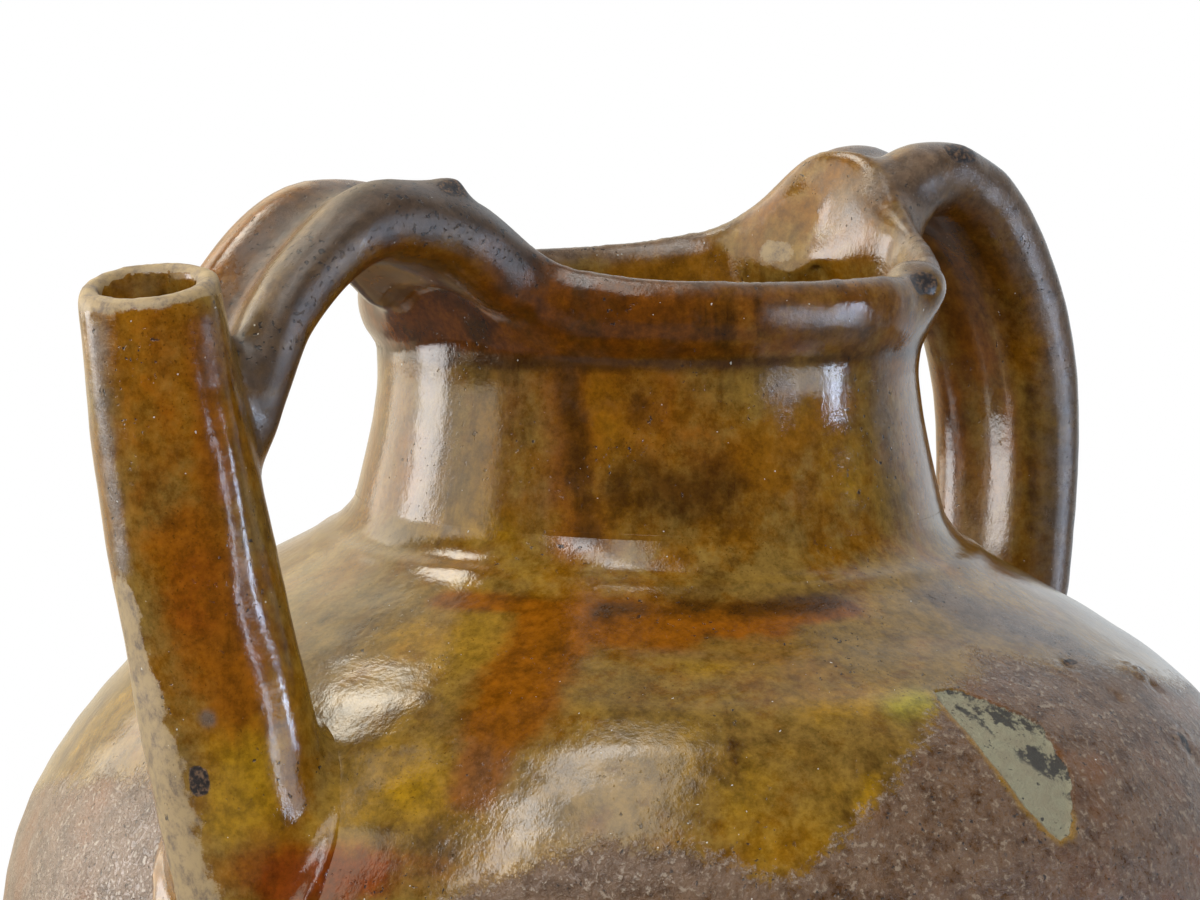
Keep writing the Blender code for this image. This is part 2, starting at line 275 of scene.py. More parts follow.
def ridge(away):
    """A groove and a soft ridge that the potter's fingers left around the neck's root."""
    groove = 0.00016 * math.exp(-(((away + 0.0066) / 0.0016) ** 2))
    crest = 0.00032 * math.exp(-(((away + 0.0030) / 0.0017) ** 2))
    return crest - groove


def settle(s, shell):
    """Lets the neck's root lean a little, as it does on the pot."""
    lean = 0.0041

    def share(way, span):
        return min(max(way / span, 0.0), 1.0)

    for vertex in shell.verts:
        radius = math.hypot(vertex.co.x, vertex.co.y)
        if radius < 1e-4:
            continue
        side = (0.21 * vertex.co.x + vertex.co.y) / s.seat_radius
        wide = share(0.128 - radius, 0.040)
        high = share(vertex.co.z - 0.150, 0.035)
        waist = share(0.238 - vertex.co.z, 0.030)
        vertex.co.z += lean * side * wide * wide * (3 - 2 * wide) * high * waist


def neck_form(s):
    """The neck's wall, from its root up to the waist and the collar and over the rolled lip."""
    waist = (s.waist_radius, s.waist_height)
    collar = (s.waist_radius + s.collar_flare, s.rim_height - LIP_DROP)
    root = (s.seat_radius - 0.0109, s.seat_height + 0.0108)
    roll = 0.5 * (collar[1] - waist[1])
    outside = bezier(collar, (collar[0], collar[1] - roll), (waist[0], waist[1] + roll), waist, 14)
    outside += bezier(waist, (waist[0], waist[1] - 0.0073), (root[0] - 0.0015, root[1] + 0.0060), root, 26)
    low = s.seat_height
    tail = root[0] + 0.0020
    outside += [root, (root[0] + 0.0012, low + 0.006), (tail, low + 0.002), (tail, low - 0.002)]
    seat = (root[0] - 0.0022, low - 0.0015)
    inner_waist = (s.waist_radius - s.wall, s.waist_height)
    lip = (collar[0] - s.lip, collar[1])
    rise = inner_waist[1] - seat[1]
    seat_pull = (inner_waist[0] + 0.57 * s.wall, seat[1] + 1.14 * s.wall)
    inside = bezier(seat, seat_pull, (inner_waist[0], inner_waist[1] - 0.6 * rise), inner_waist, 16)
    turn = 0.5 * (lip[1] - inner_waist[1])
    inside += bezier(inner_waist, (inner_waist[0], inner_waist[1] + turn), (lip[0], lip[1] - turn), lip, 10)
    middle = collar[0] - s.lip / 2
    roll_over = []
    for step in range(10):
        angle = math.pi * (1 - step / 10)
        radius = middle + s.lip / 2 * math.cos(angle)
        height = s.rim_height - LIP_DROP * (1 - math.sin(angle))
        roll_over.append((radius, height))
    shell = turned(inside + roll_over + outside, 224, closed=True)
    settle(s, shell)
    pull_saddle(s, shell)
    return shell


def rim_pull(s, angle):
    """How far the rim is pulled up at an angle about Z, measured from +X."""
    rear = abs(math.atan2(math.sin(angle), math.cos(angle)))
    spread = REAR_PULL_NEAR if math.sin(angle) < 0 else REAR_PULL_FAR
    rear_pull = s.rear_rise / (1 + (rear / spread) ** 3)
    spout_pull = s.spout_rise / (1 + ((math.pi - rear) / SPOUT_PULL) ** 3)
    return rear_pull + spout_pull


def pull_saddle(s, shell):
    """Pulls the rim up at the handles, presses the crease under the collar and tips the rim a little."""
    crease_height = 0.2478
    crease_half_width = 0.0016
    crease_depth = 0.0010
    tip = 0.0010
    for vertex in shell.verts:
        radius = math.hypot(vertex.co.x, vertex.co.y)
        angle = math.atan2(vertex.co.y, vertex.co.x)
        share = max(0.0, (vertex.co.z - s.waist_height) / (s.rim_height - s.waist_height))
        outer = radius > s.waist_radius - 0.5 * s.wall
        crease = math.exp(-(((vertex.co.z - crease_height) / crease_half_width) ** 2)) if outer else 0.0
        crease *= 0.45 + 0.55 * max(0.0, -math.cos(angle + math.radians(20)))
        pull = rim_pull(s, angle) * share**1.3
        slack = 0.0014 * share * max(0.0, math.cos(angle - math.radians(133))) ** 3
        lean = 1 + (0.12 * pull * share - crease_depth * crease - slack) / radius
        vertex.co.z += pull + tip * share * (0.73 * vertex.co.x + 0.68 * vertex.co.y) / 0.06
        vertex.co.x *= lean
        vertex.co.y *= lean


# Spout and straps


def through(points, share):
    """A smooth curve through points, at a share of its way."""
    marks = [0.0]
    for first, second in zip(points, points[1:]):
        marks.append(marks[-1] + math.dist(first, second))
    place = min(max(share, 0.0), 1.0) * marks[-1]
    index = 0
    while index < len(points) - 2 and place > marks[index + 1]:
        index += 1
    step = marks[index + 1] - marks[index]
    t = (place - marks[index]) / step

    def slope(at, axis):
        low = max(at - 1, 0)
        high = min(at + 1, len(points) - 1)
        return (points[high][axis] - points[low][axis]) / (marks[high] - marks[low]) * step

    spot = []
    for axis in range(len(points[0])):
        a = points[index][axis]
        b = points[index + 1][axis]
        ma = slope(index, axis)
        mb = slope(index + 1, axis)
        rise = (2 * t**3 - 3 * t**2 + 1) * a + (t**3 - 2 * t**2 + t) * ma
        spot.append(rise + (3 * t**2 - 2 * t**3) * b + (t**3 - t**2) * mb)
    return spot


def spout_axis(s, share):
    """The spout's axis, a little bowed outwards, from inside the belly to its mouth."""
    root = Vector((0.0225 - s.belly_radius, -0.014, s.belly_height))
    mouth = Vector((-s.belly_radius - SPOUT_OVERHANG, 0, s.rim_height))
    return root.lerp(mouth, share) + Vector((-0.0136, 0, 0)) * share * (1 - share)


def spout_form(s):
    """A tube spun upright, then set on the spout's axis and spread where it meets the shoulder."""
    count = 90
    heights = [0.05 + 0.95 * step / count for step in range(count + 1)]
    outside = [(1.0, height) for height in heights]
    lip = [(0.95, 1.006), (0.87, 1.011), (0.77, 1.011), (0.67, 1.006)]
    inside = [(s.spout_bore / s.spout_radius, height) for height in heights[::-3]]
    shell = turned(outside + lip + inside, 84, closed=True)
    direction = (spout_axis(s, 1.0) - spout_axis(s, 0.0)).normalized()
    side = (Vector((0, 1, 0)) - direction * direction.y).normalized()
    front = side.cross(direction)
    taper = [(0.0, 1.12), (0.25, 1.07), (0.5, 1.02), (0.75, 0.97), (1.0, 0.87)]
    back = Vector((0.73, 0.68, 0))
    left = Vector((-0.68, 0.73, 0))
    for vertex in shell.verts:
        share = vertex.co.z
        round_share = math.hypot(vertex.co.x, vertex.co.y)
        outward = (front * vertex.co.x + side * vertex.co.y) / round_share
        middle = spout_axis(s, share)
        if share > 0.96:
            tip = 0.0008 + 0.0016 * outward.dot(back) + 0.0011 * outward.dot(left)
            middle += direction * tip * (share - 0.96) / 0.04
        radius = round_share * s.spout_radius
        if round_share > 0.6:
            radius *= through(taper, share)[1]
            radius += 0.9 * fillet(belly_depth(s, middle + outward * radius) + 0.0006, 0.0062)
            radius += 0.0006 * noise.noise(Vector((outward.x, outward.y, 4 * share)) * 1.7)
            worn = max(0.0, (share - 0.975) / 0.04)
            radius -= 0.0016 * worn * abs(noise.noise(Vector((outward.x, outward.y, 0)) * 3.1))
        vertex.co = middle + outward * radius
    return shell


def strap_form(s, path, turn, fan, tip, belly, heel):
    """A pulled strap: a sheet rolled along (X, height, size) points, with two lobes on its outer face.

    It fans out and wraps around the neck at its root, where heel thickens it. Its near lobe stands up
    by tip and its lower face swells by belly.
    """
    shell = bmesh.new()
    bmesh.ops.create_grid(shell, x_segments=110, y_segments=56, size=1.0)
    for vertex in shell.verts:
        share = 0.5 * (vertex.co.x + 1)
        angle = math.pi * (vertex.co.y + 1)
        x, height, size = through(path, share)
        ahead = through(path, share + 0.005)
        behind = through(path, share - 0.005)
        along = Vector((ahead[0] - behind[0], 0, ahead[1] - behind[1])).normalized()
        outward = Vector((-along.z, 0, along.x)) * turn
        across = math.copysign(abs(math.cos(angle)) ** 0.8, math.cos(angle))
        rise = math.copysign(abs(math.sin(angle)) ** 0.75, math.sin(angle))
        dip = math.exp(-((across * s.strap_half_width / GROOVE_HALF_WIDTH) ** 2))
        root = max(0.0, 1 - share / (0.14 + 0.075 * heel)) ** 1.5
        lift = s.strap_half_thickness * rise
        if rise > 0:
            lift -= dip * s.strap_groove * min(1.0, 0.35 + (1 - share) / 0.22)
        else:
            lift *= 1 + heel * root + belly * (1 - 0.5 * dip) * math.sin(math.pi * share)
            lift += 0.0006 * dip
        width = 1 + fan * max(0.0, 1 - share / 0.22) ** 2
        close = 0.0 if share < 0.002 or share > 0.998 else 1.0
        reach = across * s.strap_half_width * size * width
        bearing = math.atan2(reach, 0.058 * turn)
        droop = rim_pull(s, 0.0 if turn > 0 else math.pi) - rim_pull(s, bearing)
        height -= 0.92 * droop * root + tip * across * (1 - root) * min(1.0, (1 - share) / 0.3)
        wrap = STRAP_WRAP_RADIUS - math.sqrt(max(0.0, STRAP_WRAP_RADIUS**2 - reach**2))
        middle = Vector((x - turn * wrap * root, 0, height))
        spread = outward * lift * size + Vector((0, reach, 0))
        spread *= close
        if close:
            swell = 0.55 * fillet(belly_depth(s, middle + spread) + 0.0006, 0.0095)
            spread += spread.normalized() * swell
        vertex.co = middle + spread
    bmesh.ops.remove_doubles(shell, verts=shell.verts, dist=1e-6)
    bmesh.ops.recalc_face_normals(shell, faces=shell.faces)
    return shell


def rear_strap(s):
    """The rear handle, whose path is set in shares of the way from the neck to its outer bend."""
    top = s.rim_height + s.rear_rise + 0.0024 - s.strap_half_thickness
    span = s.belly_radius - 0.0105 - s.strap_half_thickness - s.waist_radius
    shares = [
        (-0.030, 0.125, 0.96),
        (0.22, 0.014, 1.02),
        (0.43, 0.016, 1.04),
        (0.68, 0.170, 1.02),
        (0.905, 0.52, 1.0),
        (0.995, 0.93, 0.98),
    ]
    path = [(s.waist_radius + way * span, top - drop * span, size) for way, drop, size in shares]
    foot = s.belly_radius - 0.0278
    shoulder = s.belly_height + shoulder_rise(s) * math.sqrt(1 - (foot / s.belly_radius) ** 2)
    path.append((foot + 0.0060, shoulder + 0.0110, 0.97))
    path.append((foot, shoulder - 1.1 * s.strap_half_thickness, 0.96))
    return strap_form(s, path, turn=1, fan=0.42, tip=0.0014, belly=0.60, heel=2.9)


def spout_strap(s):
    """The spout handle, whose path is set in shares of the way from the neck to the spout."""
    top = s.rim_height + s.spout_rise + 0.0045 - s.strap_half_thickness
    span = s.belly_radius + SPOUT_OVERHANG - s.spout_radius - s.waist_radius
    shares = [
        (0.042, 0.062, 0.96),
        (0.28, 0.006, 1.02),
        (0.50, 0.010, 1.0),
        (0.72, 0.145, 0.95),
        (0.885, 0.31, 0.88),
        (0.955, 0.49, 0.80),
        (0.975, 0.66, 0.68),
        (1.00, 0.84, 0.48),
    ]
    path = [(-s.waist_radius - way * span, top - drop * span, size) for way, drop, size in shares]
    return strap_form(s, path, turn=-1, fan=0.35, tip=0.0012, belly=0.75, heel=1.3)


# Lumps of the kiln on the handles and the rim: place, radius (m) and share of the radius upwards
KILN_SCARS = [
    ((-0.0765, -0.0135, 0.2858), 0.0040, 0.65),
    ((0.0870, -0.0172, 0.2886), 0.0046, 0.65),
    ((0.0268, -0.0549, 0.2610), 0.0080, 0.95),
]


def kiln_scar(place, radius, tall):
    """A small lump where another pot touched this one in the kiln."""
    shell = bmesh.new()
    bmesh.ops.create_icosphere(shell, subdivisions=3, radius=radius)
    bmesh.ops.scale(shell, vec=(1.15, 1.0, tall), verts=shell.verts)
    bmesh.ops.translate(shell, vec=place, verts=shell.verts)
    return shell


# Luting and parting


def as_object(shell, name):
    """A new object with the shell as its mesh; the shell is freed."""
    mesh = bpy.data.meshes.new(name)
    shell.to_mesh(mesh)
    shell.free()
    obj = bpy.data.objects.new(name, mesh)
    bpy.context.scene.collection.objects.link(obj)
    return obj


def settled(obj):
    """Applies an object's modifiers and gives its mesh back as a bmesh, without the object."""
    bpy.context.view_layer.update()
    graph = bpy.context.evaluated_depsgraph_get()
    mesh = bpy.data.meshes.new_from_object(obj.evaluated_get(graph))
    source = obj.data
    bpy.data.objects.remove(obj)
    bpy.data.meshes.remove(source)
    shell = bmesh.new()
    shell.from_mesh(mesh)
    bpy.data.meshes.remove(mesh)
    return shell


def luted(shells, grain):
    """Joins closed shells into one skin and smooths it where two of them meet."""
    trees = [BVHTree.FromBMesh(shell) for shell in shells]
    whole = bmesh.new()
    for shell in shells:
        mesh = bpy.data.meshes.new("clay")
        shell.to_mesh(mesh)
        shell.free()
        whole.from_mesh(mesh)
        bpy.data.meshes.remove(mesh)
    obj = as_object(whole, "clay")
    skin = obj.modifiers.new("skin", "REMESH")
    skin.mode = "VOXEL"
    skin.voxel_size = grain
    obj = as_object(settled(obj), "clay")
    wet = obj.vertex_groups.new(name="wet")
    every = obj.vertex_groups.new(name="every")
    for vertex in obj.data.vertices:
        near = sorted(tree.find_nearest(vertex.co)[3] for tree in trees)
        every.add([vertex.index], 1.0, "REPLACE")
        weight = 1 - min(1.0, near[1] / WET_REACH)
        if weight > 0:
            wet.add([vertex.index], weight**0.7, "REPLACE")
    for name, group, turns in (("wet", "wet", 64), ("even", "every", 3)):
        smooth = obj.modifiers.new(name, "SMOOTH")
        smooth.factor = 0.5
        smooth.iterations = turns
        smooth.vertex_group = group
    return settled(obj)


def part_along(shell, point, normal, low):
    """Cuts the skin along a plane, above a height and within reach of a point, and closes both sides."""

    def near(face):
        middle = face.calc_center_median()
        away = middle - point
        return middle.z > low and abs(away.dot(normal)) < 0.004 and away.length < CUT_REACH

    faces = [face for face in shell.faces if near(face)]
    edges = list({edge for face in faces for edge in face.edges})
    corners = list({vertex for face in faces for vertex in face.verts})
    geometry = faces + edges + corners
    cut = bmesh.ops.bisect_plane(shell, geom=geometry, dist=1e-7, plane_co=point, plane_no=normal)
    seam = [item for item in cut["geom_cut"] if isinstance(item, bmesh.types.BMEdge)]
    split = bmesh.ops.split_edges(shell, edges=seam)
    lips = [edge for edge in split["edges"] if edge.is_boundary]
    filled = bmesh.ops.holes_fill(shell, edges=lips, sides=0)
    if not filled["faces"]:
        raise RuntimeError("The skin was not parted")


def islands(shell):
    """Each connected part of a shell, as a set of faces."""
    left = set(shell.faces)
    parts = []
    while left:
        first = left.pop()
        part = {first}
        waiting = [first]
        while waiting:
            face = waiting.pop()
            for edge in face.edges:
                for other in edge.link_faces:
                    if other in left:
                        left.remove(other)
                        part.add(other)
                        waiting.append(other)
        parts.append(part)
    return sorted(parts, key=len, reverse=True)


def kept(shell, part):
    """A copy of a shell with one of its parts."""
    mark = {face.index for face in part}
    copy = shell.copy()
    copy.faces.ensure_lookup_table()
    bmesh.ops.delete(copy, geom=[face for face in copy.faces if face.index not in mark], context="FACES")
    return copy


def upper_pieces(s):
    """The neck, the spout and the two straps, with joints that flow into each other."""
    scars = [kiln_scar(*scar) for scar in KILN_SCARS]
    straps = [spout_strap(s), rear_strap(s)]
    shell = luted([neck_form(s), spout_form(s)] + straps + scars, s.skin)
    unevenness(shell, 0.08)
    keep_normals(shell)
    part_along(shell, Vector((HANDLE_CUT, 0, 0.275)), Vector((1, 0, 0)), 0.225)
    part_along(shell, Vector((-HANDLE_CUT, 0, 0.272)), Vector((-1, 0, 0)), 0.225)
    low = spout_axis(s, 0.7)
    direction = (spout_axis(s, 1.0) - low).normalized()
    away = Vector((direction.z, 0, -direction.x)).normalized()
    part_along(shell, spout_axis(s, 0.9) + away * 0.0178, away, 0.2)
    shell.faces.index_update()
    found = {}
    for part in islands(shell):
        middle = sum((face.calc_center_median() for face in part), Vector()) / len(part)
        if abs(middle.x) < 0.03:
            name = "neck"
        elif middle.x > 0:
            name = "rear_handle"
        else:
            name = "spout" if min(face.calc_center_median().z for face in part) < 0.20 else "spout_handle"
        if name not in found:
            found[name] = kept(shell, part)
    shell.free()
    return found


def keep_normals(shell):
    """Notes each point's normal, so that a skin that is parted later still shades as one."""
    shell.normal_update()
    layer = shell.verts.layers.float_vector.new("skin")
    for vertex in shell.verts:
        vertex[layer] = vertex.normal


def unevenness(shell, ringed):
    """Throwing rings and the slight unevenness of hand-made clay, kept inside the solid's box."""
    low, high = (Vector(corner) for corner in CAD_BOX)
    shell.normal_update()
    for vertex in shell.verts:
        place = vertex.co
        broad = noise.noise(place * 22 + Vector((3, 1, 7)))
        fine = noise.noise(place * 90)
        rings = math.sin(place.z * 780 + 2.2 * broad) * (0.6 + 0.4 * noise.noise(place * 15))
        vertex.co = place + vertex.normal * UNEVENNESS * (0.9 * broad - 0.9 + 0.30 * fine + ringed * rings)
    for vertex in shell.verts:
        for axis in range(3):
            vertex.co[axis] = min(max(vertex.co[axis], low[axis]), high[axis])


# Glaze


class Value:
    """A socket with the arithmetic of a number."""

    def __init__(self, paint, socket):
        self.paint = paint
        self.socket = socket

    def math(self, operation, other, clamp=False):
        settings = {"operation": operation, "use_clamp": clamp}
        return self.paint.node("ShaderNodeMath", settings, {0: self, 1: other})

    def reflected(self, operation, other):
        return self.paint.node("ShaderNodeMath", {"operation": operation}, {0: other, 1: self})

    def __add__(self, other):
        return self.math("ADD", other)

    def __radd__(self, other):
        return self.reflected("ADD", other)

    def __sub__(self, other):
        return self.math("SUBTRACT", other)

    def __rsub__(self, other):
        return self.reflected("SUBTRACT", other)

    def __mul__(self, other):
        return self.math("MULTIPLY", other)

    def __rmul__(self, other):
        return self.reflected("MULTIPLY", other)

    def clamped(self):
        return self.math("ADD", 0.0, clamp=True)


class Paint:
    """Builds the nodes of one material, or of a world."""

    def __init__(self, name=None, world=None):
        self.material = world or bpy.data.materials.new(name)
        self.material.use_nodes = True
        self.tree = self.material.node_tree
        self.tree.nodes.clear()
        self.place = None

    def node(self, kind, settings=None, values=None, output=0):
        """Adds a node with its settings and its sockets' values or links, and gives one output."""
        item = self.tree.nodes.new(kind)
        for key, value in (settings or {}).items():
            setattr(item, key, value)
        for key, value in (values or {}).items():
            socket = item.inputs[key]
            if isinstance(value, Value):
                self.tree.links.new(value.socket, socket)
            elif socket.type == "RGBA":
                socket.default_value = (*value, 1.0)
            else:
                socket.default_value = value
        return Value(self, item.outputs[output]) if item.outputs else None

    def here(self):
        """Object coordinates."""
        if self.place is None:
            self.place = self.node("ShaderNodeTexCoord", output="Object")
        return self.place

    def noise(self, scale, detail, rough, stretch=None, twist=0.0):
        """Noise of a scale, over coordinates that may be stretched."""
        spot = self.here()
        if stretch:
            spot = self.node("ShaderNodeVectorMath", {"operation": "MULTIPLY"}, {0: spot, 1: stretch})
        values = {"Vector": spot, "Scale": scale, "Detail": detail, "Roughness": rough, "Distortion": twist}
        return self.node("ShaderNodeTexNoise", None, values)

    def ramp(self, value, low, high):
        """0 below low, 1 above high, smooth between."""
        values = {"Value": value, "From Min": low, "From Max": high}
        return self.node("ShaderNodeMapRange", {"interpolation_type": "SMOOTHSTEP"}, values)

    def along(self, way, direction):
        """How far a way goes along a direction."""
        return self.node("ShaderNodeVectorMath", {"operation": "DOT_PRODUCT"}, {0: way, 1: direction}, 1)

    def mark(self, name):
        """A value laid down on the piece's own points."""
        return self.node("ShaderNodeAttribute", {"attribute_name": name}, None, "Fac")

    def mix(self, share, first, second, blend="MIX"):
        """A share of the second colour over the first."""
        settings = {"data_type": "RGBA", "blend_type": blend}
        return self.node("ShaderNodeMix", settings, {0: share, 6: first, 7: second}, 2)


class Glaze(Paint):
    """Nodes of the glaze, with the grains that its layers share."""

    def __init__(self, name):
        super().__init__(name)
        self.cloud = self.noise(44, 6, 0.68)
        self.grit = self.noise(230, 7, 0.76)
        self.seed = self.noise(620, 4, 0.7)
        self.fine = self.noise(900, 4, 0.7)
        self.ragged = self.noise(105, 8, 0.72) - 0.5

    def spread(self, mark):
        """A mark with the ragged, grainy edge of melted glaze."""
        cover = self.mark(mark)
        return self.ramp(cover + 1.5 * self.ragged * self.ramp(cover, 0.0, 0.5), 0.05, 0.85)


def melted(p, c, haze_and_painted_light, smoke):
    """Colour of the melted glaze, with its pools, runs, smoke and haze; its rust and umber also carry
    painted shade, and its haze painted light.
    """
    broad = p.noise(17, 5, 0.62)
    runs = p.noise(60, 6, 0.66, stretch=(1.0, 1.0, 0.14), twist=0.4)
    base = p.mix(p.ramp(p.cloud + 0.5 * (p.grit - 0.5) + p.mark("cool"), 0.42, 0.64), c.amber, c.olive)
    ochre = 0.9 * p.spread("ochre") + 0.5 * p.ramp(broad, 0.53, 0.70)
    rust_and_painted_shade = 0.95 * p.spread("rust_and_painted_shade") + 0.45 * p.ramp(broad, 0.44, 0.28)
    dark = 0.92 * p.spread("umber_and_painted_shade") + 0.75 * p.ramp(runs, 0.50, 0.68) * p.ramp(p.cloud, 0.36, 0.62)
    base = p.mix(ochre.clamped(), base, c.ochre)
    base = p.mix(p.mark("lime"), base, c.lime)
    base = p.mix(rust_and_painted_shade.clamped(), base, c.rust_and_painted_shade)
    base = p.mix(0.95 * p.spread("garnet"), base, c.garnet)
    base = p.mix(dark.clamped(), base, c.umber_and_painted_shade)
    base = p.mix(0.94 * smoke, base, c.smoke)
    dulled = 0.22 * p.ramp(p.noise(26, 6, 0.7), 0.54, 0.70)
    base = p.mix(0.92 * haze_and_painted_light + dulled * (1 - haze_and_painted_light), base, c.haze_and_painted_light)
    shade = 0.34 + 0.86 * p.ramp(p.grit, 0.28, 0.72) + 0.46 * p.fine
    grey = p.node("ShaderNodeCombineColor", None, {0: shade, 1: shade, 2: shade})
    return p.mix(1.0, base, grey, "MULTIPLY")


def bare_clay(p, c):
    """Where the clay is bare, below the glaze's edge, and its colour."""
    edge = p.mark("bare") + 10.0 * (p.noise(75, 7, 0.66) - 0.5) + 12.0 * (p.seed - 0.5)
    clay = p.mix(p.ramp(p.noise(165, 7, 0.76), 0.32, 0.60), c.umber_and_painted_shade, c.clay)
    clay = p.mix(0.5 * p.ramp(p.noise(44, 5, 0.62), 0.50, 0.70), clay, c.rust_and_painted_shade)
    clay = p.mix(0.75 * p.ramp(p.seed, 0.54, 0.66), clay, c.ash)
    return p.ramp(edge, -2.2, 2.2), clay


def flaked(p, c, base):
    """The colour with the flake of lost glaze, its ochre edge and dark veins, and where the flake is."""
    depth = p.mark("chip")
    side = p.mark("vein")
    chip = p.ramp(depth + 2.4 * (p.noise(330, 5, 0.65) - 0.5), -0.12, 0.12)
    lip = p.ramp(depth + 5.0 * p.ragged, -2.2, -0.4) * p.ramp(side + p.ragged, 0.55, 0.20)
    base = p.mix(0.7 * lip, base, c.ochre)
    veins = p.ramp(p.noise(190, 6, 0.72), 0.46, 0.54) * p.ramp(side + 1.2 * p.ragged, 0.45, 0.75)
    worn = p.mix(0.25 * p.ramp(p.grit, 0.40, 0.62), c.flake, c.clay)
    return p.mix(chip, base, p.mix(0.88 * veins, worn, c.soot)), chip


def specked(p, c, base, dull, smoke):
    """The colour with its pits, dark specks and pale flecks, and where the pits and flecks are."""
    pitted = p.ramp(p.noise(60, 3, 0.5) + 0.14 * p.ramp(dull, 0.3, 1.0), 0.52, 0.66)
    pit = p.ramp(p.noise(760, 2, 0.5) + 0.05 * smoke, 0.66, 0.71) * pitted
    base = p.mix(0.85 * pit, base, c.soot)
    speck = p.ramp(p.noise(1500, 1, 0.5), 0.66, 0.72) * p.ramp(p.noise(36, 4, 0.6), 0.44, 0.64)
    base = p.mix(0.6 * speck, base, c.umber_and_painted_shade)
    fleck = p.ramp(p.noise(1150, 0, 0.5), 0.880, 0.895)
    return p.mix(0.8 * fleck, base, c.fleck), pit, fleck


def glaze_material(name):
    """Lead glaze over red clay, with runs, pools, bare clay, wear, flakes and kiln scars."""
    c = colours()
    p = Glaze(name)
    # The haze is dulled glaze, and in places painted light.
    haze_and_painted_light = p.spread("haze_and_painted_light")
    smoke = p.spread("smoke")
    bare, clay = bare_clay(p, c)
    base = p.mix(bare, melted(p, c, haze_and_painted_light, smoke), clay)
    buff = p.ramp(p.mark("buff") + 1.5 * p.ragged, 0.40, 0.62)
    base = p.mix(buff, base, p.mix(p.ramp(p.grit, 0.30, 0.58), c.haze_and_painted_light, c.buff))
    base, chip = flaked(p, c, base)
    scar = p.ramp(p.mark("scar") + 0.9 * p.ragged, 0.38, 0.58)
    base = p.mix(scar, base, p.mix(p.ramp(p.fine, 0.45, 0.65), c.soot, c.clay))
    base, pit, fleck = specked(p, c, base, haze_and_painted_light + bare + smoke, smoke)

    rough = 0.06 + 0.10 * p.cloud + 0.05 * p.fine + 0.14 * haze_and_painted_light + 0.28 * smoke
    rough = rough + bare * (0.04 + 0.26 * p.seed) + 0.4 * chip + 0.35 * buff + 0.18 * scar
    height = 0.00022 * p.cloud + 0.00007 * p.noise(430, 4, 0.62) + 0.000013 * p.noise(2100, 2, 0.6)
    height = height + bare * (0.00010 * p.ramp(p.seed, 0.40, 0.62) + 0.00006 * p.grit)
    height = height - 0.00018 * pit + 0.00010 * fleck + 0.00018 * chip * p.grit
    height = height + 0.00014 * (haze_and_painted_light + smoke) * p.grit
    bump = p.node("ShaderNodeBump", None, {"Strength": 1.0, "Distance": 1.0, "Height": height})
    values = {"Base Color": base, "Roughness": rough.clamped(), "IOR": 1.6, "Normal": bump}
    shader = p.node("ShaderNodeBsdfPrincipled", None, values)
    p.node("ShaderNodeOutputMaterial", {"target": "ALL"}, {"Surface": shader})
    return p.material


